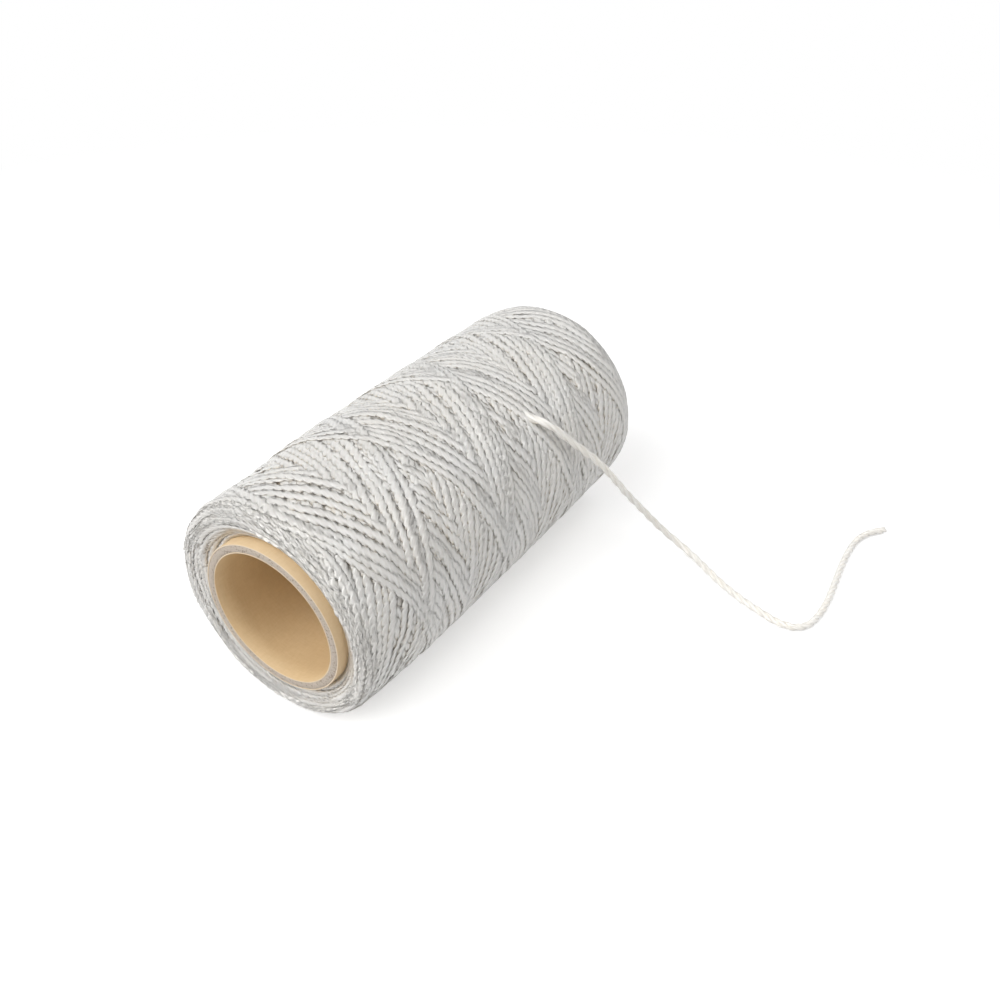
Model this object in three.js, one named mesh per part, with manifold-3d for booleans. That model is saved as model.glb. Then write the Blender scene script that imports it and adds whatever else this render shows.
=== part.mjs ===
// Waxed thread spool: a paper tube of three glued plies that carries a fat winding of waxed
// thread. It lies on its side with the bore along X and rests on the winding. Millimetres, +Z up.
// The origin is below the middle of the tube, on the surface that the spool lies on.
import * as THREE from 'three';
import { mergeVertices } from 'three/addons/utils/BufferGeometryUtils.js';
import Module from 'manifold-3d';

const wasm = await Module();
wasm.setup();

// Paper tube
const tubeLength = 59.4;
const boreDiameter = 17.4;
const linerThickness = 0.14;
const boardThickness = 0.84;
const wrapThickness = 0.14;
const pasteLine = 0.02;

// Thread and its winding
const threadDiameter = 1.0;
const windingDiameter = 30.5;
const turnCount = 24;
const crestInset = 0.3;
const seatInset = 1.4;
const shoulderRadius = 2.5;
const firstTurnDegrees = 28;

// Clearances between separate pieces
const tubeClearance = 0.3;
const turnClearance = 0.3;
const tailClearance = 0.3;

// The last turn ends on top of the winding, towards the front, and the loose tail starts there.
const rootDegrees = 30;
const rootSteps = 365;
const pastRootSteps = 2;

// Facets
const tubeSegments = 48;
const faceSteps = 3;
const turnSteps = 24;
const turnSides = 6;
const tailSides = 8;
const tailSteps = 46;

// Sizes that follow from those above
const linerOuterRadius = boreDiameter / 2 + linerThickness;
const boardInnerRadius = linerOuterRadius + pasteLine;
const boardOuterRadius = boardInnerRadius + boardThickness;
const wrapInnerRadius = boardOuterRadius + pasteLine;
const wrapOuterRadius = wrapInnerRadius + wrapThickness;
const threadRadius = threadDiameter / 2;
const turnRadius = windingDiameter / 2 - threadRadius;
const chordDip = turnRadius * (1 - Math.cos(Math.PI / turnSteps));
const turnStandoff = threadRadius + turnClearance + chordDip;
const layersOuterRadius = turnRadius - turnStandoff;
const layersInnerRadius = wrapOuterRadius + tubeClearance;
const crestX = -tubeLength / 2 + crestInset;
const shoulderX = crestX + shoulderRadius;
const shoulderCentreRadius = layersOuterRadius - shoulderRadius;
const firstTurnLean = THREE.MathUtils.degToRad(firstTurnDegrees);
const rootAngle = THREE.MathUtils.degToRad(rootDegrees);

// The lowest turns are pressed flat by a tenth of the thread's diameter where the spool lies.
const flatDepth = threadDiameter / 10;
const axisHeight = windingDiameter / 2 - flatDepth;

// Route of the loose tail, from where it has left the last turn: over the winding, down to the
// surface, and along it in an open hook to the cut end.
const tailRoute = [
  [7.9, -10.5, 26.0], [8.4, -11.7, 25.5], [9.1, -12.8, 24.8], [10.0, -13.75, 23.6],
  [11.3, -14.65, 21.95], [12.9, -15.7, 20.0], [15.1, -17.1, 17.2], [17.2, -18.4, 13.9],
  [19.2, -19.7, 10.6], [21.2, -21.1, 7.5], [22.9, -22.7, 4.6], [24.0, -24.6, 2.4],
  [24.2, -26.7, 1.2], [23.5, -29.1, 0.65], [22.0, -31.8, 0.6], [20.4, -34.7, 0.6],
  [19.0, -38.0, 0.6], [18.0, -41.2, 0.6], [17.4, -44.0, 0.6], [17.7, -46.0, 0.6],
  [19.0, -47.3, 0.6], [21.3, -47.9, 0.6], [25.0, -48.0, 0.6], [29.5, -47.6, 0.6],
  [34.0, -47.15, 0.6], [38.0, -47.0, 0.6], [41.0, -47.3, 0.6], [43.2, -48.2, 0.6],
  [45.2, -49.8, 0.6],
];

const kraft = new THREE.MeshStandardMaterial({ color: 0xc9a877, roughness: 0.8, metalness: 0 });
const greyBoard = new THREE.MeshStandardMaterial({ color: 0xa2958a, roughness: 0.9, metalness: 0 });
const innerThread = new THREE.MeshStandardMaterial({ color: 0xc9c5bb, roughness: 0.6, metalness: 0 });
const outerThread = new THREE.MeshStandardMaterial({ color: 0xe0deda, roughness: 0.45, metalness: 0 });

// A closed body turned about the bore's axis from points of [distance along the bore, radius].
function turnedAboutBore(outline) {
  const profile = outline.map(([along, radius]) => new THREE.Vector2(radius, along));
  profile.push(profile[0].clone());
  const geometry = new THREE.LatheGeometry(profile, tubeSegments);
  geometry.rotateZ(-Math.PI / 2);
  geometry.translate(0, 0, axisHeight);
  return geometry;
}

function ply(innerRadius, outerRadius) {
  const end = tubeLength / 2;
  return turnedAboutBore([
    [-end, innerRadius], [-end, outerRadius], [end, outerRadius], [end, innerRadius],
  ]);
}

// The winding's end seats back on the tube, swells out to a crest just behind the rim and rounds
// over a shoulder onto the drum. The far end mirrors the near one.
function innerLayers() {
  const face = new THREE.Path();
  face.moveTo(-tubeLength / 2 + seatInset, layersInnerRadius);
  face.quadraticCurveTo(crestX, layersInnerRadius, crestX, shoulderCentreRadius);
  face.absarc(shoulderX, shoulderCentreRadius, shoulderRadius, Math.PI, Math.PI / 2, true);
  const near = face.getPoints(faceSteps).map((point) => [point.x, point.y]);
  const far = near.map(([along, radius]) => [-along, radius]).reverse();
  return turnedAboutBore([...near, ...far]);
}

// The line that the turns' centres follow in a lengthwise section: parallel to the inner layers,
// from a little way down one shoulder to the same place on the other.
function turnsMeridian() {
  const reach = shoulderRadius + turnStandoff;
  const top = Math.PI / 2;
  const meridian = new THREE.Path();
  meridian.absarc(shoulderX, shoulderCentreRadius, reach, top + firstTurnLean, top, true);
  meridian.lineTo(-shoulderX, turnRadius);
  meridian.absarc(-shoulderX, shoulderCentreRadius, reach, top, top - firstTurnLean, true);
  return meridian;
}

const meridian = turnsMeridian();

// Where the thread is after a number of steps of the winding: its centre, its heading round the
// bore, and the directions straight out of the winding and along its surface.
function threadAt(step) {
  const share = step / (turnCount * turnSteps);
  const place = meridian.getPoint(share);
  const slope = meridian.getTangent(share);
  const angle = rootAngle + (step - rootSteps) * 2 * Math.PI / turnSteps;
  const radial = new THREE.Vector3(0, -Math.sin(angle), Math.cos(angle));
  const heading = new THREE.Vector3(0, -Math.cos(angle), -Math.sin(angle));
  const along = new THREE.Vector3(slope.x, 0, 0).addScaledVector(radial, slope.y);
  const outward = new THREE.Vector3(-slope.y, 0, 0).addScaledVector(radial, slope.x);
  const centre = new THREE.Vector3(place.x, 0, axisHeight).addScaledVector(radial, place.y);
  return { centre, heading, outward, along };
}

// One section of the thread, flat side out, moved along its heading by the given distance.
function threadSection(step, advance) {
  const { centre, heading, outward, along } = threadAt(step);
  const cornerRadius = threadRadius / Math.cos(Math.PI / turnSides);
  const middle = centre.clone().addScaledVector(heading, advance);
  return Array.from({ length: turnSides }, (_, side) => {
    const turn = -(side + 0.5) * 2 * Math.PI / turnSides;
    return middle.clone()
      .addScaledVector(outward, cornerRadius * Math.cos(turn))
      .addScaledVector(along, cornerRadius * Math.sin(turn));
  });
}

// The sections of one unbroken run of turns, with a straight end of one thread diameter each way.
function threadSections(firstStep, lastStep) {
  const sections = [threadSection(firstStep, -threadDiameter)];
  for (let step = firstStep; step <= lastStep; step += 1) {
    sections.push(threadSection(step, 0));
  }
  sections.push(threadSection(lastStep, threadDiameter));
  return sections;
}

function tubeThrough(sections) {
  const sides = sections[0].length;
  const index = [];
  for (let ring = 0; ring < sections.length - 1; ring += 1) {
    for (let side = 0; side < sides; side += 1) {
      const next = (side + 1) % sides;
      const a = ring * sides + side;
      const b = ring * sides + next;
      index.push(a, b, b + sides, a, b + sides, a + sides);
    }
  }
  const last = (sections.length - 1) * sides;
  for (let side = 1; side < sides - 1; side += 1) {
    index.push(0, side + 1, side);
    index.push(last, last + side, last + side + 1);
  }
  const geometry = new THREE.BufferGeometry().setFromPoints(sections.flat());
  geometry.setIndex(index);
  return geometry;
}

function toSolid(geometry) {
  const bare = geometry.clone();
  bare.deleteAttribute('normal');
  bare.deleteAttribute('uv');
  const merged = mergeVertices(bare);
  return new wasm.Manifold(new wasm.Mesh({
    numProp: 3,
    vertProperties: new Float32Array(merged.attributes.position.array),
    triVerts: new Uint32Array(merged.index.array),
  }));
}

function toGeometry(solid) {
  const mesh = solid.getMesh();
  const geometry = new THREE.BufferGeometry();
  geometry.setAttribute('position', new THREE.BufferAttribute(mesh.vertProperties, 3));
  geometry.setIndex(new THREE.BufferAttribute(mesh.triVerts, 1));
  return geometry;
}

function cutFlatBelow(geometry) {
  const below = new THREE.BoxGeometry(tubeLength, windingDiameter, windingDiameter);
  below.translate(0, 0, -windingDiameter / 2);
  return toGeometry(toSolid(geometry).subtract(toSolid(below)));
}

// The least distance between the corners of one turn and those of the turns beside it.
function leastGap(sections) {
  const reach = turnSteps * 2;
  let least = Infinity;
  for (let one = 0; one < sections.length; one += 1) {
    const end = Math.min(sections.length, one + reach);
    for (let other = one + turnSteps / 2; other < end; other += 1) {
      for (const corner of sections[one]) {
        for (const facing of sections[other]) {
          least = Math.min(least, corner.distanceTo(facing));
        }
      }
    }
  }
  return least;
}

function looseTail() {
  const root = threadAt(rootSteps);
  const start = threadDiameter + tailClearance;
  const lead = [start, start + threadDiameter]
    .map((distance) => root.centre.clone().addScaledVector(root.heading, distance));
  const route = tailRoute.map((point) => new THREE.Vector3(...point));
  const path = new THREE.CatmullRomCurve3([...lead, ...route], false, 'centripetal');
  console.log('tail length', path.getLength().toFixed(1), 'mm');
  const cornerRadius = threadRadius / Math.cos(Math.PI / tailSides);
  const section = new THREE.Shape(Array.from({ length: tailSides }, (_, side) => {
    const turn = (side + 0.5) * 2 * Math.PI / tailSides;
    return new THREE.Vector2(cornerRadius * Math.cos(turn), cornerRadius * Math.sin(turn));
  }));
  return new THREE.ExtrudeGeometry(section, {
    steps: tailSteps,
    bevelEnabled: false,
    extrudePath: path,
  });
}

const outerSections = threadSections(0, rootSteps);
const underSections = threadSections(rootSteps + pastRootSteps, turnCount * turnSteps);
console.log('least gap between turns', leastGap([...outerSections, ...underSections]).toFixed(2), 'mm');

const spool = new THREE.Group();

function addPiece(name, geometry, material) {
  const piece = new THREE.Mesh(geometry, material);
  piece.name = name;
  spool.add(piece);
}

addPiece('core_liner_ply', ply(boreDiameter / 2, linerOuterRadius), kraft);
addPiece('core_board_ply', ply(boardInnerRadius, boardOuterRadius), greyBoard);
addPiece('core_wrap_ply', ply(wrapInnerRadius, wrapOuterRadius), kraft);
addPiece('thread_inner_layers', innerLayers(), innerThread);
addPiece('thread_last_pass', cutFlatBelow(tubeThrough(outerSections)), outerThread);
addPiece('thread_pass_beneath', cutFlatBelow(tubeThrough(underSections)), outerThread);
addPiece('thread_tail', looseTail(), outerThread);

export default spool;
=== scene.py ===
"""A paper tube wound with waxed sewing thread, lying on its side with a loose tail of thread.

Everything is in metres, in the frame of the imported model: +X along the bore, +Z up, -Y towards the side
where the tail comes off. The thread on the tube is wound turn by turn, as a winder lays it, and every
turn that shows is a real twisted strand.
"""
import math

import bmesh
import bpy
import numpy as np
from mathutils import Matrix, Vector


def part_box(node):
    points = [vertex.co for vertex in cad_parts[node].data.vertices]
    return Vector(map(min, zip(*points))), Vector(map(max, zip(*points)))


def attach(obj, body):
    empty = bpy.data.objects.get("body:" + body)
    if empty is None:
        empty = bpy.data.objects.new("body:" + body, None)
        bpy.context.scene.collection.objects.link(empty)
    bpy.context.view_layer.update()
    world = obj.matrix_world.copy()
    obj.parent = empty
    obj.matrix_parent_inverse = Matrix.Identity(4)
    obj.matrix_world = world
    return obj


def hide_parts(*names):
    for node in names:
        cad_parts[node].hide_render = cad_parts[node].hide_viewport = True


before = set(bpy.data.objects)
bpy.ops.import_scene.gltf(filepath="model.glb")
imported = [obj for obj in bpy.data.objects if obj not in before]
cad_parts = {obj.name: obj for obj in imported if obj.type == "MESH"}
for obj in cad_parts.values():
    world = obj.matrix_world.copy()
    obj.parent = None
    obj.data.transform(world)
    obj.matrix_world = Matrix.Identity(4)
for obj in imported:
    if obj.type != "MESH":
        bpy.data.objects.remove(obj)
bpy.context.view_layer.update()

# ---- sizes, in metres and degrees ----------------------------------------------------------------------

MM = 0.001
body = "root"


def node_box(name):
    low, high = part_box(name)
    return Vector(low), Vector(high)


# the tube, from its three plies
liner_low, liner_high = node_box("core_liner_ply")
board_low, board_high = node_box("core_board_ply")
wrap_low, wrap_high = node_box("core_wrap_ply")

axis_height = (wrap_low.z + wrap_high.z) / 2
tube_radius = (wrap_high.z - wrap_low.z) / 2
board_radius = (board_high.z - board_low.z) / 2
liner_radius = (liner_high.z - liner_low.z) / 2
liner_thickness = 0.14 * MM
bore_radius = liner_radius - liner_thickness
tube_end = wrap_high.x
paper_bevel = 0.04 * MM
board_bevel = 0.05 * MM
cut_edge = 0.02 * MM           # the length of paper at each end that looks freshly cut
tube_steps = 192
tube_stations = 24

# the thread
thread_plies = 3
ply_spread = 0.5               # how far out the plies' middles lie, as a share of the thread's radius
strand_radius = 0.36 * MM
strand_lay = 3.3 * MM          # the length of one full twist
strand_points_per_ply = 3
tail_points_per_ply = 8
fibre_shift = 0.0371           # along the fibres, for each ring laid before, so that no two strands match
floor_gap = 0.02 * MM          # no thread lies lower than this
walk_steps = 60                # fine steps between two points of a route

# the loose tail: its route, from the turn that it leaves to its cut end
tail_diameter = 1.0 * MM
tail_step = 0.22 * MM
tail_fibre_start = 0.4
tail_lay_places = [0.0, 30.0 * MM, 60.0 * MM, 87.0 * MM]
tail_lays = [8.0 * MM, 7.2 * MM, 4.2 * MM, 3.6 * MM]     # one full twist at each of those places
tail_pressed_to = (1.5 * MM, 6.0 * MM)      # along it: pressed like its neighbours, then round
tail_route = [
    (0.00764, -0.00850, 0.02727),
    (0.00764, -0.00937, 0.02677),
    (0.0079, -0.0105, 0.0260),
    (0.0084, -0.0117, 0.0255),
    (0.0091, -0.0128, 0.0248),
    (0.0100, -0.01375, 0.0236),
    (0.0113, -0.01465, 0.02195),
    (0.0129, -0.0157, 0.0200),
    (0.0151, -0.0171, 0.0172),
    (0.0172, -0.0184, 0.0139),
    (0.0192, -0.0197, 0.0106),
    (0.0212, -0.0211, 0.0075),
    (0.0229, -0.0227, 0.0046),
    (0.0240, -0.0246, 0.0024),
    (0.0242, -0.0267, 0.0012),
    (0.0235, -0.0291, 0.00065),
    (0.0220, -0.0318, 0.0006),
    (0.0204, -0.0347, 0.0006),
    (0.0190, -0.0380, 0.0006),
    (0.0180, -0.0412, 0.0006),
    (0.0174, -0.0440, 0.0006),
    (0.0177, -0.0460, 0.0006),
    (0.0190, -0.0473, 0.0006),
    (0.0213, -0.0479, 0.0006),
    (0.0250, -0.0480, 0.0006),
    (0.0295, -0.0476, 0.0006),
    (0.0340, -0.04715, 0.0006),
    (0.0380, -0.0470, 0.0006),
    (0.0410, -0.0473, 0.0006),
    (0.0432, -0.0482, 0.0006),
    (0.0452, -0.0498, 0.0006),
]
tail_root_angle = 30.0
tail_root_place = tail_route[0][0]
tail_root_radius = 14.75 * MM

# the winding, as the winder sets it
turns_per_cycle = 3.5          # turns of the tube while the guide goes across and back
back_share = 0.49              # the guide's way back, as a share of the cycle
cycles_wound = 208
spare_passes = 6
guide_travel = 57.0 * MM       # one way
step_early = 2.44 * MM         # how far each double cycle lies beside the one before
step_late = 0.95 * MM
late_pairs = 24                # double cycles at the end that lie close
guide_jitter = 3.2
guide_drift = 3.5
guide_drift_passes = 5         # passes from one heading of the drift to the next
end_jitter = 0.3 * MM
wander = 0.13 * MM
quick_wander_share = 0.4
wander_steps = (30, 9)         # steps from one heading to the next, of the slow and the quick wander
reversal_round = 28.0          # degrees that a reversal is rounded over
last_reversal = 651.0
last_angle = 290.0
cycles_over_tail = 4.25        # wound after the turn that ends in the tail, which comes out from under them
tail_turn = 300.0              # degrees of that turn
tail_turn_sink = 0.35 * MM     # how far its neighbours press it in
tail_turn_rise = 18.0          # degrees over which it comes up to the tail's root
tail_turn_straight = 0.08      # the share of it that runs straight round at its end
end_tuck = 40.0                # degrees over which the thread's other end slips under
winding_seed = 7

# how far from the middle the guide turns back, as the winding grows
reach_radii = [10.4 * MM, 13.4 * MM, 14.0 * MM, 14.4 * MM, 14.8 * MM, 15.2 * MM]
reach_places = [28.6 * MM, 28.6 * MM, 28.5 * MM, 28.4 * MM, 28.2 * MM, 27.8 * MM]
full_reach = 25.6 * MM         # as far from the middle as every pass goes
end_bulges = (2.0 * MM, 2.35 * MM)          # how far the layers press the near and far ends outwards
bulge_from = 20.0 * MM
bulge_over = 6.4 * MM

# the finished winding's outline: places along the tube, and the mean radius of the thread's surface there
finished_radius = 15.1 * MM
outline_places = [
    -28.9 * MM, -28.4 * MM, -27.6 * MM, -26.5 * MM, -24.0 * MM, -19.7 * MM, -12.0 * MM,
    0.0, 15.0 * MM, 25.3 * MM, 26.9 * MM, 28.0 * MM, 28.8 * MM, 29.3 * MM,
]
outline_radii = [
    13.5 * MM, 14.0 * MM, 14.3 * MM, 14.42 * MM, 14.48 * MM, 14.65 * MM, 14.9 * MM,
    14.95 * MM, 14.9 * MM, 14.75 * MM, 14.65 * MM, 14.4 * MM, 14.0 * MM, 13.5 * MM,
]

# how the winding's middle wanders: places along the tube, and how far aside and upwards it lies there
middle_places = [-28.5 * MM, -22.0 * MM, -12.0 * MM]
middle_shifts = [(0.7 * MM, -0.26 * MM), (0.15 * MM, 0.0), (0.18 * MM, 0.21 * MM)]

# the ends: turns that lie round the tube where the guide turned back
end_turn_first = 0.3 * MM      # from the tube, along the end's profile
end_turn_step = 0.5 * MM
end_turn_count = 12
end_turn_parts = 3
end_turn_span = 190.0
end_turn_spans = (0.85, 1.15)  # the shortest and longest part, as shares of that span
end_turn_spacing = 0.34 * MM   # from one step of thread to the next
end_turn_start_jitter = 8.0
end_turn_jitter = 0.07 * MM
end_turn_wander = 0.08 * MM
end_turn_wander_steps = 12
end_turn_rounding = 4.0        # steps
end_turn_lift = 0.4 * MM
end_turn_size = 0.7
end_turn_under = 0.15 * MM     # how far the outermost ones lie under the turns of the drum
end_turn_under_from = 4.2 * MM
end_turn_under_over = 1.5 * MM
end_turn_twists = 6.0          # radians within which each part's twist starts
end_map = (-1.0 * MM, 9.0 * MM)
end_profile_step = 0.05 * MM
end_profile = [                # place along the tube and radius, from the tube round to the drum
    (27.8 * MM, 9.7 * MM), (28.5 * MM, 10.5 * MM), (29.1 * MM, 11.5 * MM), (29.4 * MM, 12.4 * MM),
    (29.3 * MM, 13.3 * MM), (28.8 * MM, 14.05 * MM), (27.9 * MM, 14.5 * MM), (26.6 * MM, 14.65 * MM),
    (24.5 * MM, 14.7 * MM),
]
near_end_seed = 3
far_end_seed = 4

# how the thread lies on what is below it
hardness = 0.2                 # how far it rests on the highest point below it and not on the mean
slide = 0.35 * MM              # how far it may slide off sideways
slide_choices = 7
slide_cost = 400.0             # 1/m
slide_blend = 0.03 * MM
slide_length = 5.0 * MM        # along the thread, which slides alike over this length
slide_widths = 5.0             # that length, in widths of the curve that smooths it
slide_end_steps = 8.0          # a stretch's ends stay where they are
bow = 500.0                    # 1/m, how much a taut strand may dip between its rests
bow_reach = 2.4 * MM
sink = 0.4                     # how much of a strand's rise above the others it loses
sink_from = 0.7                # of a strand's radius above the mean level
height_rounding = 1.2          # steps

# how soft the finished winding is
firmness = 0.68                # a pressed strand's height, as a share of its width
pressed_width = 1.85
foot_width = 1.2               # how much wider a strand grows below its middle, pressed into the others
relief = 0.26                  # how much of its ups and downs the thread keeps once it is pressed and waxed
uneven_width = 0.07            # how much a strand's width comes and goes
uneven_steps = 14
level_rounding = 8.0           # rows of the map
level_sample = (7, 11)         # every so many rows and columns
lowest_level = 1.0 * MM

# the body of deeper layers under the turns that show
inner_layers_depth = 0.42 * MM
inner_end_depth = 0.9 * MM
inner_end_points = 5
inner_drum_reach = 27.0 * MM
inner_steps = 96

# painted shade: thread deeper than the first of these is painted warmer and darker, more so down to the
# next depth, but not at the ends
shade_from = 0.04 * MM
shade_span = 0.20 * MM
unshaded_at_ends = 2.0 * MM
unshaded_over = 1.5 * MM
never_shaded = -1.0 * MM

# the map that the winding is simulated on, and the stretches of thread that are made from it
cell = 0.1 * MM
cell_angle = 0.375
map_reach = 31.0 * MM
angle_step = 1.0
stretch_steps = 175            # laid at a time
shown_margin = 0.04 * MM       # a strand this far under the surface still shows
shown_beyond = 9               # a step is made if any of this many steps round it shows
shortest_stretch = 12
longest_stretch = 2000
end_strands_radius = 13.7 * MM              # past the full reach, all strands outside this are made
most_triangles = 190_000       # in one piece

# the stage
camera_place = (-0.08297, -0.06642, 0.09199)
camera_azimuth = 33.7
camera_down = 36.55
camera_lens = 35.64            # mm
floor_size = 2.0
floor_lift = 0.4
floor_near = 0.11              # the floor turns white further out than this
floor_fade = 9.0               # 1/m
dome_strength = 0.2
lamp_size = (0.5, 0.4)
lamps = [                      # place and power
    ((-0.40, 0.10, 0.36), 2.25),
    ((0.10, -0.26, 0.46), 1.2),
    ((-0.22, 0.22, 0.42), 0.55),
    ((0.0, 0.10, 0.60), 0.35),
]


# ---- camera --------------------------------------------------------------------------------------------

def add_camera():
    data = bpy.data.cameras.new("camera")
    data.lens = camera_lens
    data.sensor_width = 36.0
    data.clip_start = 0.001
    data.clip_end = 10.0
    camera = bpy.data.objects.new("camera", data)
    bpy.context.scene.collection.objects.link(camera)
    camera.location = camera_place
    azimuth, down = math.radians(camera_azimuth), math.radians(camera_down)
    level = math.cos(down)
    ahead = Vector((level * math.cos(azimuth), level * math.sin(azimuth), -math.sin(down)))
    camera.rotation_euler = ahead.to_track_quat("-Z", "Y").to_euler()
    bpy.context.scene.camera = camera


# ---- materials -----------------------------------------------------------------------------------------

class Flow:
    """A shader socket that takes part in Python sums."""

    def __init__(self, nodes, socket):
        self.nodes, self.socket = nodes, socket

    def maths(self, operation, *values):
        return self.nodes.add("ShaderNodeMath", {"operation": operation}, dict(enumerate(values)))

    def __add__(self, other):
        return self.maths("ADD", self, other)

    def __radd__(self, other):
        return self.maths("ADD", other, self)

    def __sub__(self, other):
        return self.maths("SUBTRACT", self, other)

    def __rsub__(self, other):
        return self.maths("SUBTRACT", other, self)

    def __mul__(self, other):
        return self.maths("MULTIPLY", self, other)

    def __rmul__(self, other):
        return self.maths("MULTIPLY", other, self)

    def clamped(self):
        return self.maths("MAXIMUM", self.maths("MINIMUM", self, 1.0), 0.0)


class Nodes:
    """The nodes of a material or of the world."""

    def __init__(self, tree):
        self.nodes, self.links = tree.nodes, tree.links
        self.nodes.clear()

    def add(self, kind, settings=None, sockets=None, out=0):
        """A node with its settings, and the values or links of its sockets. Returns one of its outputs."""
        node = self.nodes.new(kind)
        for name, value in (settings or {}).items():
            if name == "stops":
                self.set_stops(node.color_ramp, value)
            else:
                setattr(node, name, value)
        for name, value in (sockets or {}).items():
            if isinstance(value, Flow):
                self.links.new(value.socket, node.inputs[name])
            else:
                node.inputs[name].default_value = value
        return Flow(self, node.outputs[out]) if len(node.outputs) else None

    @staticmethod
    def set_stops(ramp, stops):
        while len(ramp.elements) < len(stops):
            ramp.elements.new(0.5)
        for element, (place, value) in zip(ramp.elements, stops):
            element.position = place
            element.color = (value, value, value, 1.0)

    def seen(self):
        """1 for what the camera sees, also in a shine or through something clear, and otherwise 0."""
        camera = self.add("ShaderNodeLightPath", out="Is Camera Ray")
        shine = self.add("ShaderNodeLightPath", out="Is Glossy Ray")
        clear = self.add("ShaderNodeLightPath", out="Is Transmission Ray")
        return (camera + shine + clear).clamped()


class Finish(Nodes):
    """One material, and the nodes that make it."""

    def __init__(self, name):
        self.material = bpy.data.materials.new(name)
        self.material.use_nodes = True
        super().__init__(self.material.node_tree)

    def mix(self, share, first, second):
        """A colour between two others."""
        sockets = {0: share, 6: first, 7: second}
        return self.add("ShaderNodeMix", {"data_type": "RGBA"}, sockets, out=2)

    def place(self):
        return self.add("ShaderNodeTexCoord", out=3)

    def stretched(self, vector, scale, turn=(0.0, 0.0, 0.0)):
        return self.add("ShaderNodeMapping", None, {"Vector": vector, "Scale": scale, "Rotation": turn})

    def part(self, vector, number):
        """One of a vector's three numbers."""
        return self.add("ShaderNodeSeparateXYZ", None, {0: vector}, out=number)

    def noise(self, vector, scale, detail=3.0, roughness=0.5):
        sockets = {"Vector": vector, "Scale": scale, "Detail": detail, "Roughness": roughness}
        return self.add("ShaderNodeTexNoise", {"noise_dimensions": "3D"}, sockets)

    def ramp(self, value, stops):
        return self.add("ShaderNodeValToRGB", {"stops": stops}, {"Fac": value})

    def bump(self, height, distance, strength=1.0):
        sockets = {"Height": height, "Distance": distance, "Strength": strength}
        return self.add("ShaderNodeBump", None, sockets)

    def finished(self, sockets):
        shader = self.add("ShaderNodeBsdfPrincipled", None, sockets)
        self.add("ShaderNodeOutputMaterial", None, {"Surface": shader})
        return self.material


def colour(red, green, blue):
    return (red, green, blue, 1.0)


white = colour(1.0, 1.0, 1.0)


def thread_finish():
    """Waxed, twisted thread: fine fibres, a waxy shine that comes and goes, and painted shade, a warm
    darker colour where the thread lies deep or under its neighbours, in the grooves between the plies and
    in patches.
    """
    # shaded is the colour painted as shade; light and deep are the thread's own tones
    light, deep, shaded = colour(0.89, 0.88, 0.85), colour(0.77, 0.75, 0.71), colour(0.78, 0.67, 0.51)
    f = Finish("waxed_thread")
    along = f.add("ShaderNodeAttribute", {"attribute_name": "straightened"}, out=1)
    fibres = f.noise(f.stretched(along, (5200.0, 5200.0, 420.0)), 1.0, 4.0, 0.6)
    wax = f.noise(f.stretched(along, (700.0, 700.0, 330.0)), 1.0, 3.0, 0.55)
    tone = f.noise(f.place(), 150.0, 2.0)
    # painted shade: how deep each vertex lies, or how far it is under its strand
    sunk = f.add("ShaderNodeAttribute", {"attribute_name": "sunk"}, out=2)
    turned = f.part(along, 1).maths("ARCTAN2", f.part(along, 1), f.part(along, 0))
    plies = turned.maths("ABSOLUTE", turned.maths("COSINE", thread_plies / 2 * turned))
    share = (0.35 * wax + 0.65 * fibres - 0.36) * 2.8 + 0.5 * (tone - 0.5)
    base = f.mix(share.clamped(), deep, light)
    # painted shade also falls in patches that come and go at random
    shade_patches = (0.5 + 3.6 * (tone - 0.45)).clamped()
    # painted shade: the warm, darker colour where the thread lies deep or under its neighbours, and in
    # those patches
    base = f.mix((0.3 * sunk + 0.7 * (sunk * shade_patches) + 0.16 * shade_patches).clamped(), base, shaded)
    # painted shade in the grooves between the plies
    base = f.mix((0.2 - 0.8 * plies).clamped(), base, shaded)
    return f.finished({
        "Base Color": base,
        "Roughness": 0.2 + 0.32 * wax,
        "Subsurface Weight": 0.6,
        "Subsurface Radius": (1.0, 1.0, 1.0),
        "Subsurface Scale": 0.45 * MM,
        "Coat Weight": 0.55,
        "Coat Roughness": 0.13,
        "Normal": f.bump(0.5 * fibres + 0.2 * wax + 0.42 * plies, 0.08 * MM, 1.0),
    })


def inner_thread_finish():
    """The layers under the surface, seen only in the slits between the turns, painted darker and warmer
    than the thread on top as shade in those slits.
    """
    f = Finish("inner_layers")
    turns = f.noise(f.stretched(f.place(), (1500.0, 240.0, 240.0)), 1.0, 3.0, 0.6)
    # painted shade: the same thread as on top, painted darker and warmer; the noise gives its turns a tone
    # that comes and goes
    base = f.mix(turns.clamped(), colour(0.68, 0.58, 0.44), colour(0.84, 0.75, 0.62))
    return f.finished({
        "Base Color": base,
        "Roughness": 0.5 + 0.2 * turns,
        "Normal": f.bump(turns, 0.2 * MM, 0.8),
    })


def kraft_finish(name, light, dark, roughness):
    """Kraft paper: pale and dark fibres lying every way, faint clouds and a soft calendered shine."""
    f = Finish(name)
    place = f.place()
    cloud = f.noise(place, 160.0, 4.0, 0.6)
    first = f.noise(f.stretched(place, (5200.0, 900.0, 900.0), (0.3, 0.2, 0.5)), 1.0, 3.0, 0.65)
    second = f.noise(f.stretched(place, (900.0, 4600.0, 2600.0), (0.7, 0.1, 0.9)), 1.0, 3.0, 0.65)
    fibres = 0.5 * first + 0.5 * second
    base = f.mix((0.55 * cloud + 1.1 * fibres - 0.33).clamped(), dark, light)
    along = f.part(place, 0)
    end = along.maths("GREATER_THAN", along.maths("ABSOLUTE", along), tube_end - cut_edge)
    base = f.mix(end, base, colour(0.66, 0.56, 0.43))
    return f.finished({
        "Base Color": base,
        "Roughness": roughness + 0.22 * (fibres - 0.5),
        "Normal": f.bump(fibres + 0.4 * cloud, 0.03 * MM, 0.7),
    })


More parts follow.
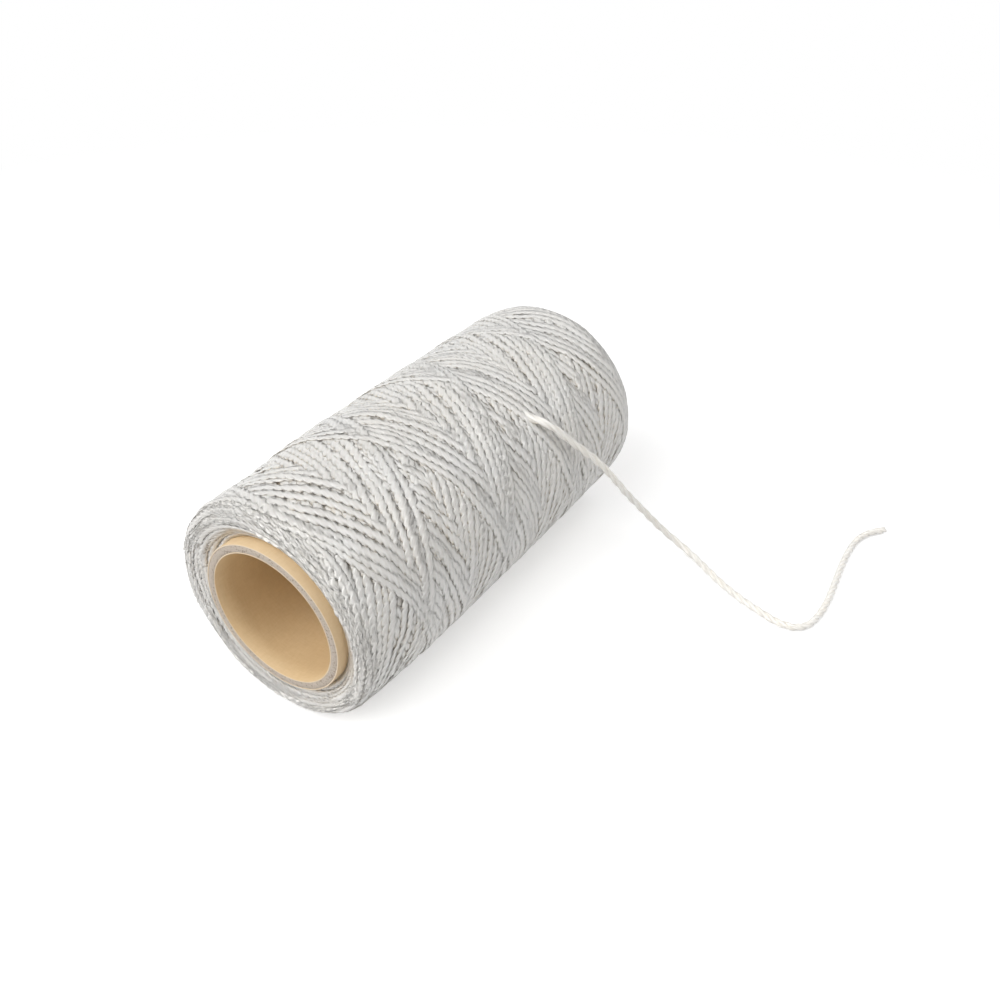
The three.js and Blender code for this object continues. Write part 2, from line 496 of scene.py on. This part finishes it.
def board_finish():
    """Grey board, cut across: thin plies of pulp with darker specks."""
    light, dark, speck = colour(0.54, 0.47, 0.40), colour(0.35, 0.295, 0.245), colour(0.2, 0.16, 0.12)
    f = Finish("grey_board")
    place = f.place()
    pulp = f.noise(place, 2600.0, 5.0, 0.7)
    cloud = f.noise(place, 420.0, 3.0)
    specks = f.ramp(f.noise(place, 5200.0, 2.0), [(0.0, 0.0), (0.34, 0.0), (0.42, 1.0)])
    base = f.mix((0.7 * pulp + 0.5 * cloud - 0.1).clamped(), dark, light)
    base = f.mix(specks, speck, base)
    return f.finished({
        "Base Color": base,
        "Roughness": 0.86 + 0.1 * (pulp - 0.5),
        "Normal": f.bump(pulp, 0.08 * MM, 1.0),
    })


def floor_finish():
    """A pale matt floor. It keeps its shadows near the spool, and the camera sees it white further out."""
    f = Finish("pale_floor")
    cloud = f.noise(f.place(), 30.0, 3.0)
    base = f.mix(cloud, colour(0.78, 0.78, 0.78), colour(0.80, 0.80, 0.80))
    paint = f.add("ShaderNodeBsdfDiffuse", None, {"Color": base})
    seen = f.seen()
    lift = f.add("ShaderNodeEmission", None, {"Color": white, "Strength": seen * floor_lift})
    near = f.add("ShaderNodeAddShader", None, {0: paint, 1: lift})
    bright = f.add("ShaderNodeEmission", None, {"Color": white})
    away = f.add("ShaderNodeVectorMath", {"operation": "LENGTH"}, {0: f.place()}, out=1)
    far = ((away - floor_near) * floor_fade).clamped() * seen
    both = f.add("ShaderNodeMixShader", None, {0: far, 1: near, 2: bright})
    f.add("ShaderNodeOutputMaterial", None, {"Surface": both})
    return f.material


# ---- making pieces -------------------------------------------------------------------------------------

def piece_of(name, mesh, material, replaced=()):
    mesh.materials.clear()
    mesh.materials.append(material)
    piece = bpy.data.objects.new(name, mesh)
    bpy.context.scene.collection.objects.link(piece)
    mesh.polygons.foreach_set("use_smooth", [True] * len(mesh.polygons))
    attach(piece, body)
    if replaced:
        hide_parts(*replaced)
    return piece


def spun_ring(name, outline, steps):
    """A closed outline of (place, radius) points, spun round the bore's axis."""
    bm = bmesh.new()
    verts = [bm.verts.new((x, 0.0, axis_height + r)) for x, r in outline]
    edges = [bm.edges.new((a, b)) for a, b in zip(verts, verts[1:] + verts[:1])]
    bmesh.ops.spin(
        bm, geom=verts + edges, cent=(0.0, 0.0, axis_height), axis=(1.0, 0.0, 0.0),
        angle=math.tau, steps=steps, use_merge=True,
    )
    bmesh.ops.remove_doubles(bm, verts=bm.verts, dist=1e-7)
    bmesh.ops.recalc_face_normals(bm, faces=bm.faces)
    mesh = bpy.data.meshes.new(name)
    bm.to_mesh(mesh)
    bm.free()
    return mesh


def ply_outline(inner, outer, end, bevel):
    """A ply's section: a long thin rectangle with its corners eased, and stations along its faces."""
    length = [end * (2 * k / tube_stations - 1) for k in range(1, tube_stations)]
    outline = [(-end + bevel, outer), *((x, outer) for x in length)]
    outline += [(end - bevel, outer), (end, outer - bevel), (end, inner + bevel), (end - bevel, inner)]
    outline += [*((x, inner) for x in reversed(length)), (-end + bevel, inner)]
    return outline + [(-end, inner + bevel), (-end, outer - bevel)]


def add_tube():
    inside = kraft_finish("kraft_inside", colour(0.78, 0.595, 0.36), colour(0.61, 0.43, 0.225), 0.55)
    outside = kraft_finish("kraft_outside", colour(0.74, 0.565, 0.35), colour(0.61, 0.44, 0.25), 0.48)
    plies = [
        ("liner", bore_radius, liner_radius, paper_bevel, inside, "kraft_paper"),
        ("board", liner_radius, board_radius, board_bevel, board_finish(), "grey_board"),
        ("wrap", board_radius, tube_radius, paper_bevel, outside, "kraft_paper"),
    ]
    for ply, inner, outer, bevel, material, slot in plies:
        mesh = spun_ring(f"tube_{ply}", ply_outline(inner, outer, tube_end, bevel), tube_steps)
        piece_of(f"tube_{ply}", mesh, material, [f"core_{ply}_ply"])


# ---- curves and numbers --------------------------------------------------------------------------------

def eased(share):
    share = np.clip(share, 0.0, 1.0)
    return share * share * (3.0 - 2.0 * share)


def smoothed(values, sigma):
    wide = int(math.ceil(3 * sigma))
    weights = np.exp(-0.5 * (np.arange(-wide, wide + 1) / sigma) ** 2)
    return np.convolve(np.pad(values, wide, mode="edge"), weights / weights.sum(), mode="valid")


def drift(random, count, spacing):
    """Numbers that wander about zero, with a new heading every few steps."""
    knots = random.normal(0.0, 1.0, count // spacing + 3)
    return np.interp(np.arange(count) / spacing, np.arange(len(knots)), knots)


def rounded_walk(points, spacing):
    """A Catmull-Rom walk through points, in even steps. Returns its points and their places along it."""
    points = np.array(points)
    padded = np.vstack([2 * points[0] - points[1], points, 2 * points[-1] - points[-2]])
    knots = np.concatenate([[0.0], np.cumsum(np.sqrt(np.linalg.norm(np.diff(padded, axis=0), axis=1)))])
    fine = []
    for k in range(1, len(padded) - 2):
        (t0, t1, t2, t3), (p0, p1, p2, p3) = knots[k - 1:k + 3], padded[k - 1:k + 3]
        t = np.linspace(t1, t2, walk_steps, endpoint=False)[:, None]
        a1 = (t1 - t) / (t1 - t0) * p0 + (t - t0) / (t1 - t0) * p1
        a2 = (t2 - t) / (t2 - t1) * p1 + (t - t1) / (t2 - t1) * p2
        a3 = (t3 - t) / (t3 - t2) * p2 + (t - t2) / (t3 - t2) * p3
        b1 = (t2 - t) / (t2 - t0) * a1 + (t - t0) / (t2 - t0) * a2
        b2 = (t3 - t) / (t3 - t1) * a2 + (t - t1) / (t3 - t1) * a3
        fine.append((t2 - t) / (t2 - t1) * b1 + (t - t1) / (t2 - t1) * b2)
    fine = np.vstack([*fine, points[-1:]])
    along = np.concatenate([[0.0], np.cumsum(np.linalg.norm(np.diff(fine, axis=0), axis=1))])
    even = np.linspace(0.0, along[-1], int(round(along[-1] / spacing)) + 1)
    return np.column_stack([np.interp(even, along, fine[:, k]) for k in range(3)]), even


def outwards(angle):
    """Directions out from the axis, at angles from the top towards the tail's side."""
    turned = np.radians(angle)
    return np.column_stack([0.0 * turned, -np.sin(turned), np.cos(turned)])


# ---- the thread ----------------------------------------------------------------------------------------
# A run is one strand: its points, widths, twist angles, the direction away from what it lies on, with a
# length from 0 for free to 1 for pressed, and its depth under the surface, which sets its painted shade.
# Each has an entry for each step.

def plied_section(radius, points_per_ply):
    """The outline of a thread of round plies pressed together."""
    middle, ply = ply_spread * radius, (1.0 - ply_spread) * radius
    count = thread_plies * points_per_ply
    outline = []
    for k in range(count):
        angle = math.tau * (k + 0.5) / count
        off = math.remainder(angle, math.tau / thread_plies)
        size = middle * math.cos(off) + math.sqrt(ply ** 2 - (middle * math.sin(off)) ** 2)
        outline.append((size * math.cos(angle), size * math.sin(angle)))
    return outline


def twists_along(points):
    steps = np.linalg.norm(np.diff(points, axis=0, prepend=points[:1]), axis=1)
    return np.cumsum(steps) / strand_lay * math.tau


def swept(name, runs, section):
    """A mesh of round twisted strands, one section for each step of each run."""
    ring = bpy.data.curves.new(name + "_section", "CURVE")
    ring.dimensions = "2D"
    spline = ring.splines.new("POLY")
    spline.points.add(len(section) - 1)
    spline.points.foreach_set("co", np.ravel([(x, y, 0.0, 1.0) for x, y in section]))
    spline.use_cyclic_u = True
    outline = bpy.data.objects.new(name + "_section", ring)
    data = bpy.data.curves.new(name, "CURVE")
    data.dimensions = "3D"
    data.twist_mode = "MINIMUM"
    data.bevel_mode = "OBJECT"
    data.bevel_object = outline
    data.use_fill_caps = False
    for points, widths, twists, _, _ in runs:
        spline = data.splines.new("POLY")
        spline.points.add(len(points) - 1)
        spline.points.foreach_set("co", np.column_stack([points, np.ones(len(points))]).ravel())
        spline.points.foreach_set("radius", widths)
        spline.points.foreach_set("tilt", twists)
    route = bpy.data.objects.new(name + "_route", data)
    bpy.context.scene.collection.objects.link(outline)
    bpy.context.scene.collection.objects.link(route)
    bpy.context.view_layer.update()
    mesh = bpy.data.meshes.new_from_object(route.evaluated_get(bpy.context.evaluated_depsgraph_get()))
    mesh.name = name
    bpy.data.objects.remove(route)
    bpy.data.objects.remove(outline)
    return mesh


def straightened(section, widths, points):
    """Each vertex of a run if the strand lay straight and untwisted: two places across and one along."""
    steps = np.linalg.norm(np.diff(points, axis=0), axis=1)
    along = np.concatenate([[0.0], np.cumsum(steps)])
    x, y = np.transpose(section)
    return np.stack(np.broadcast_arrays(widths[:, None] * x, widths[:, None] * y, along[:, None]), axis=2)


def strand_piece(name, runs, section, material, replaced, fibre_start):
    """Strands as one piece: runs made round, pressed on what they lie on, and closed at their ends."""
    mesh = swept(name, runs, section)
    place = np.empty(len(mesh.vertices) * 3)
    mesh.vertices.foreach_get("co", place)
    place = place.reshape(-1, len(section), 3)
    flat, sunk = [], []
    first = 0
    for points, widths, _, out, depth in runs:
        rings = place[first:first + len(points)]
        off = rings - points[:, None, :]
        pressed = np.linalg.norm(out, axis=1)[:, None, None]
        up = out[:, None, :] / np.maximum(pressed, 1e-9)
        rise = (off * up).sum(2, keepdims=True)
        foot = foot_width * np.clip(-rise / strand_radius, 0.0, 1.0) ** 2
        rings += pressed * ((firmness * relief - 1.0) * rise * up)
        rings += pressed * ((pressed_width * (1.0 + foot) - 1.0) * (off - rise * up))
        local = straightened(section, widths, points)
        local[:, :, 2] += fibre_start + fibre_shift * first
        flat.append(local)
        # painted shade: a vertex deep under the surface or on a strand's underside gets more of the warm,
        # darker colour
        sunk.append(np.clip((depth[:, None] - rise[:, :, 0] - shade_from) / shade_span, 0.0, 1.0))
        first += len(points)
    place[:, :, 2] = np.maximum(place[:, :, 2], floor_gap)
    mesh.vertices.foreach_set("co", place.ravel())
    layer = mesh.attributes.new("straightened", "FLOAT_VECTOR", "POINT")
    layer.data.foreach_set("vector", np.concatenate(flat).ravel())
    layer = mesh.attributes.new("sunk", "FLOAT", "POINT")
    layer.data.foreach_set("value", np.concatenate(sunk).ravel())
    bm = bmesh.new()
    bm.from_mesh(mesh)
    bmesh.ops.holes_fill(bm, edges=[edge for edge in bm.edges if edge.is_boundary], sides=0)
    bm.to_mesh(mesh)
    bm.free()
    return piece_of(name, mesh, material, replaced)


def add_tail(material):
    """The loose tail: pressed like its neighbours where it leaves the winding, and then round and free."""
    root = outwards(np.array([tail_root_angle]))[0] * tail_root_radius + (tail_root_place, 0.0, axis_height)
    points, along = rounded_walk([root, *tail_route], tail_step)
    lay = np.interp(along, tail_lay_places, tail_lays)
    twists = np.cumsum(np.diff(along, prepend=0.0) / lay) * math.tau
    section = plied_section(tail_diameter / 2, tail_points_per_ply)
    free = eased((along - tail_pressed_to[0]) / (tail_pressed_to[1] - tail_pressed_to[0]))
    widths = 1.0 + (strand_radius * 2 / tail_diameter - 1.0) * (1.0 - free)
    out = points - np.array([0.0, 0.0, axis_height])
    out[:, 0] = 0.0
    out *= ((1.0 - free) / np.linalg.norm(out, axis=1))[:, None]
    # the tail's painted shade comes only from its underside
    run = (points, widths, twists, out, np.zeros(len(points)))
    tail = strand_piece("loose_tail", [run], section, material, ["thread_tail"], tail_fibre_start)


# ---- the winding ---------------------------------------------------------------------------------------

def guide_path(random):
    """The thread on the tube's surface as angles in degrees and places along the tube, turn by turn."""
    per_cycle = turns_per_cycle * 360.0
    back = np.arange(2 * cycles_wound + spare_passes)[::-1]      # passes still to come at each reversal
    angles = -(back // 2) * per_cycle - np.where(back % 2 == 1, per_cycle * (1 - back_share), 0.0)
    pair = back / 4.0                                            # a double cycle is four passes
    beside = np.minimum(pair, late_pairs) * step_late + np.maximum(pair - late_pairs, 0.0) * step_early
    angles = angles - beside * per_cycle / (2 * guide_travel) + last_reversal
    angles = angles + random.normal(0.0, guide_jitter, len(back))
    angles = angles + guide_drift * drift(random, len(back), guide_drift_passes)
    grown = np.sqrt(tube_radius ** 2 + (finished_radius ** 2 - tube_radius ** 2) * (1 - back / back.max()))
    reach = np.interp(grown, reach_radii, reach_places) - np.abs(random.normal(0.0, end_jitter, len(back)))
    ends = np.where(back % 2 == 0, reach, -reach)
    angle = np.arange(angles[1], last_angle + 1e-6, angle_step)
    place = smoothed(np.interp(angle, angles, ends), reversal_round / angle_step)
    slow, quick = (drift(random, len(angle), steps) for steps in wander_steps)
    return angle, place + wander * slow + quick_wander_share * wander * quick


def tail_turn_path():
    """The turn that leads to the tail: along with its neighbours, then straight round at its end."""
    angle = np.arange(tail_root_angle - tail_turn, tail_root_angle + 1e-6, angle_step)
    left = (tail_root_angle - angle) / tail_turn
    pitch = 2 * reach_places[0] / (turns_per_cycle * 360.0 * (1.0 - back_share))
    crossed = left - tail_turn_straight * (1.0 - np.exp(-left / tail_turn_straight))
    return angle, tail_root_place - pitch * tail_turn * np.maximum(crossed, 0.0)


class Winding:
    """The height of the wound thread over the tube, on a map of the tube's surface unrolled."""

    def __init__(self, low, high):
        self.low = low
        self.rows = int((high - low) / cell)
        self.columns = int(round(360.0 / cell_angle))
        self.height = np.zeros((self.rows, self.columns))

    def row_places(self):
        return self.low + (np.arange(self.rows) + 0.5) * cell

    def level(self):
        """The mean height over the middle half of the map, from a sample of its cells."""
        rows, columns = level_sample
        return self.height[self.rows // 4:3 * self.rows // 4:rows, ::columns].mean()

    def under(self, angle, place, radius):
        """The cells below each step of a strand, its height over each, and the height that it needs."""
        wide = int(math.ceil(strand_radius / cell))
        long = int(math.ceil(strand_radius / (radius * math.radians(cell_angle))))
        rows, columns = np.meshgrid(np.arange(-wide, wide + 1), np.arange(-long, long + 1), indexing="ij")
        row = np.floor((place - self.low) / cell).astype(int)[:, None] + rows.ravel()
        column = np.floor(angle / cell_angle).astype(int)[:, None] + columns.ravel()
        across = (row + 0.5) * cell + self.low - place[:, None]
        around = np.radians((column + 0.5) * cell_angle - angle[:, None]) * radius
        left = strand_radius ** 2 - across ** 2 - around ** 2
        inside = left > 0
        lift = firmness * np.sqrt(np.where(inside, left, 0.0))
        row = np.clip(row, 0, self.rows - 1)
        column = column % self.columns
        below = self.height[row, column]
        highest = np.where(inside, below + lift, -1.0).max(1)
        mean = np.where(inside, below + lift, 0.0).sum(1) / inside.sum(1)
        return row, column, inside, lift, hardness * highest + (1 - hardness) * mean

    def slid(self, angle, place, radius, step):
        """Where a stretch comes to rest sideways: it slides off what it only half climbs."""
        sigma = slide_length / step / slide_widths
        shifts = np.linspace(-slide, slide, slide_choices)
        needs = [self.under(angle, place + shift, radius)[4] for shift in shifts]
        costs = [smoothed(need, sigma) + slide_cost * shift * shift for need, shift in zip(needs, shifts)]
        weights = np.exp((np.min(costs, axis=0) - np.array(costs)) / slide_blend)
        shift = (weights * shifts[:, None]).sum(0) / weights.sum(0)
        edge = np.minimum(np.arange(len(place)), np.arange(len(place))[::-1])
        return place + smoothed(shift, sigma) * np.clip(edge / slide_end_steps, 0.0, 1.0)

    def lay(self, angle, place, radius):
        """Lays one stretch, which slides, bridges low places and sinks in a little, and raises the map."""
        step = math.radians(angle_step) * radius
        place = self.slid(angle, place, radius, step)
        row, column, inside, lift, need = self.under(angle, place, radius)
        height = need.copy()
        for apart in range(1, int(bow_reach / step)):
            dip = bow * (apart * step) ** 2
            height[apart:] = np.maximum(height[apart:], need[:-apart] - dip)
            height[:-apart] = np.maximum(height[:-apart], need[apart:] - dip)
        height -= sink * np.clip(height - self.level() - sink_from * strand_radius, 0.0, None)
        height = smoothed(height, height_rounding)
        top = np.where(inside, height[:, None] + lift, -1.0)
        np.maximum.at(self.height, (row.ravel(), column.ravel()), top.ravel())
        return place, height

    def shows(self, angle, place, height, radius):
        """Which steps of the thread have any cell of their own on the finished surface."""
        row, column, inside, lift, _ = self.under(angle, place, radius)
        own = inside & (height[:, None] + lift > self.height[row, column] - shown_margin)
        return own.any(1)


def leaning(x, radius):
    """The middle of the turns at each place: the winding is a little fuller on one side."""
    share = np.clip((radius - tube_radius) / (finished_radius - tube_radius), 0.0, 1.0)
    aside, upwards = (share * np.interp(x, middle_places, shifts) for shifts in np.transpose(middle_shifts))
    return aside, axis_height + upwards


def shaped(angle, place, height, level):
    """Points of the real winding, whose ends bulge where the layers press on them, and their depths."""
    bulge = np.where(place < 0, -end_bulges[0], end_bulges[1])
    x = place + bulge * eased((np.abs(place) - bulge_from) / bulge_over)
    surface = np.interp(x, outline_places, outline_radii)
    radius = surface + relief * (height - np.interp(np.clip(place, -full_reach, full_reach), *level))
    out = outwards(angle)
    points = out * radius[:, None] + np.column_stack([x, *leaning(x, radius)])
    return points, out, surface - radius


def shown_runs(shown, *columns):
    """The parts of a strand that show, each with a little more at both ends and none too long."""
    wide = np.convolve(shown, np.ones(shown_beyond), mode="same") > 0
    edges = np.flatnonzero(np.diff(np.concatenate([[0], wide.astype(int), [0]])))
    runs = []
    for start, stop in zip(edges[::2], edges[1::2]):
        if stop - start > shortest_stretch:
            for first in range(start, stop - 1, longest_stretch):
                last = min(first + longest_stretch, stop - 1) + 1
                runs.append(tuple(column[first:last] for column in columns))
    return runs


def wind_thread():
    """All turns on the tube, in the order they are laid. Returns the runs that show."""
    random = np.random.default_rng(winding_seed)
    angle, place = guide_path(random)
    under = len(angle) - int(cycles_over_tail * turns_per_cycle * 360.0 / angle_step)
    routes = [(angle[:under], place[:under]), tail_turn_path(), (angle[under:], place[under:])]
    winding = Winding(-map_reach, map_reach)
    laid = []
    for angles, places in routes:
        parts = []
        for first in range(0, len(angles), stretch_steps):
            part = slice(first, first + stretch_steps)
            radius = tube_radius + winding.level()
            parts.append((angles[part], *winding.lay(angles[part], places[part], radius)))
        laid.append([np.concatenate(column) for column in zip(*parts)])
    level = (
        winding.row_places(),
        np.maximum(smoothed(winding.height.mean(1), level_rounding), lowest_level),
    )
    runs = []
    for route, (angle, place, height) in zip(("first turns", "tail's turn", "last turns"), laid):
        widths = 1.0 + uneven_width * drift(random, len(angle), uneven_steps)
        shown = winding.shows(angle, place, height, finished_radius)
        shown |= (np.abs(place) > full_reach) & (height > end_strands_radius - tube_radius)
        if route == "tail's turn":
            risen = eased((angle - tail_root_angle + tail_turn_rise) / tail_turn_rise)
            above = tail_root_radius - np.interp(place, outline_places, outline_radii)
            root_height = np.interp(place, *level) + above / relief
            height = (height - tail_turn_sink) * (1.0 - risen) + root_height * risen
            shown[:] = True
        if route == "last turns":
            height = height - 2 * strand_radius * eased((angle - angle[-1] + end_tuck) / end_tuck)
        points, out, depth = shaped(angle, place, height, level)
        # no painted shade on the turns near the ends
        depth -= unshaded_at_ends * eased((np.abs(place) - full_reach + unshaded_over) / unshaded_over)
        runs += shown_runs(shown, points, widths, twists_along(points), out, depth)
    return runs


def end_turn_stretches(laid, walk, along, random):
    """Lays the turns on one end from the tube outwards, in parts whose ends slip under the next turn."""
    stretches = []
    for turn in range(end_turn_count):
        start = random.uniform(0.0, 360.0)
        for k in range(end_turn_parts):
            middle = start + k * 360.0 / end_turn_parts + random.normal(0.0, end_turn_start_jitter)
            span = end_turn_span * random.uniform(*end_turn_spans)
            place = end_turn_first + turn * end_turn_step + random.normal(0.0, end_turn_jitter)
            radius = float(np.interp(place, along, walk[:, 2]))
            angle = np.arange(-span / 2, span / 2, math.degrees(end_turn_spacing / radius))
            place = place + end_turn_lift * np.abs(2 * angle / span) ** 3
            place = place + end_turn_wander * drift(random, len(angle), end_turn_wander_steps)
            place, height = laid.lay(angle + middle, smoothed(place, end_turn_rounding), radius)
            stretches.append((angle + middle, place, height, radius))
    return stretches


def end_turns(side, random):
    """The runs of the turns on one end of the winding, laid on the end's profile."""
    walk, along = rounded_walk([(x, 0.0, r) for x, r in end_profile], end_profile_step)
    heading = np.gradient(walk, axis=0)
    heading /= np.linalg.norm(heading, axis=1)[:, None]
    laid = Winding(*end_map)
    stretches = end_turn_stretches(laid, walk, along, random)
    covered = laid.height > 0
    level = (laid.row_places(), laid.height.sum(1) / np.maximum(covered.sum(1), 1))
    runs = []
    for angle, place, height, radius in stretches:
        depth = relief * (np.interp(place, *level) - height)
        depth = depth + end_turn_under * eased((place - end_turn_under_from) / end_turn_under_over)
        x, _, r = (np.interp(place, along, walk[:, k]) for k in range(3))
        x = x + (end_bulges[1] - end_bulges[0] if side > 0 else 0.0)
        ahead, _, up = (np.interp(place, along, heading[:, k]) for k in range(3))
        across = outwards(angle)
        out = -across * ahead[:, None]
        out[:, 0] = side * up
        points = across * r[:, None] - out * depth[:, None]
        points += np.column_stack([side * x, *leaning(side * x, r)])
        twists = twists_along(points) + random.uniform(0.0, end_turn_twists)
        widths = end_turn_size * (1.0 + uneven_width * drift(random, len(angle), uneven_steps))
        shown = laid.shows(angle, place, height, radius)
        # the end turns get no painted shade
        runs += shown_runs(shown, points, widths, twists, out, np.full(len(angle), never_shaded))
    return runs


def add_winding(material):
    """The end turns and the drum's turns, shared out over pieces that each stay small enough."""
    runs = end_turns(-1.0, np.random.default_rng(near_end_seed))
    runs += end_turns(1.0, np.random.default_rng(far_end_seed))
    runs += wind_thread()
    section = plied_section(strand_radius, strand_points_per_ply)
    steps = np.cumsum([len(run[0]) for run in runs])
    pieces = int(math.ceil(steps[-1] * 2 * len(section) / most_triangles))
    share = np.minimum((steps - 1) * pieces // steps[-1], pieces - 1)
    for k in range(pieces):
        name, replaced = f"winding_turns_{k + 1}", []
        if k == pieces - 1:
            name, replaced = "winding_last_turns", ["thread_last_pass", "thread_pass_beneath"]
        chosen = [run for run, s in zip(runs, share) if s == k]
        strand_piece(name, chosen, section, material, replaced, k)


def add_inner_layers():
    """The layers under the turns that are modelled one by one, as one plain body."""
    end = [(x - inner_end_depth, r) for x, r in end_profile[:inner_end_points]]
    outline = [(x, r) for x, r in zip(outline_places, outline_radii) if abs(x) < inner_drum_reach]
    drum = [(x, r - inner_layers_depth) for x, r in outline]
    both = [(-x, r) for x, r in end] + drum + end[::-1]
    mesh = spun_ring("winding_inner_layers", both, inner_steps)
    for vertex in mesh.vertices:
        x, y, z = vertex.co
        aside, middle = leaning(x, math.hypot(y, z - axis_height))
        vertex.co = (x, y + aside, z + middle - axis_height)
    piece_of("winding_inner_layers", mesh, inner_thread_finish(), ["thread_inner_layers"])


# ---- the stage -----------------------------------------------------------------------------------------

def add_floor():
    bm = bmesh.new()
    bmesh.ops.create_grid(bm, x_segments=2, y_segments=2, size=floor_size)
    mesh = bpy.data.meshes.new("studio_floor")
    bm.to_mesh(mesh)
    bm.free()
    mesh.materials.append(floor_finish())
    floor = bpy.data.objects.new("studio_floor", mesh)
    bpy.context.scene.collection.objects.link(floor)


def add_world():
    """A dim dome that lights the spool, and that the camera sees as white."""
    world = bpy.data.worlds.new("studio")
    bpy.context.scene.world = world
    world.use_nodes = True
    w = Nodes(world.node_tree)
    dome = w.add("ShaderNodeBackground", None, {"Color": white, "Strength": dome_strength})
    backdrop = w.add("ShaderNodeBackground", None, {"Color": white, "Strength": 1.0})
    both = w.add("ShaderNodeMixShader", None, {0: w.seen(), 1: dome, 2: backdrop})
    w.add("ShaderNodeOutputWorld", None, {"Surface": both})


def add_lamps():
    middle = Vector((0.0, 0.0, axis_height))
    for number, (place, power) in enumerate(lamps, 1):
        data = bpy.data.lights.new(f"window_{number}", "AREA")
        data.shape = "RECTANGLE"
        data.size, data.size_y = lamp_size
        data.energy = power
        window = bpy.data.objects.new(f"window_{number}", data)
        bpy.context.scene.collection.objects.link(window)
        window.location = place
        window.rotation_euler = (middle - Vector(place)).to_track_quat("-Z", "Y").to_euler()


add_camera()
waxed = thread_finish()
add_tail(waxed)
add_floor()
add_world()
add_lamps()
add_tube()
add_inner_layers()
add_winding(waxed)
bpy.context.scene.view_settings.view_transform = "Standard"
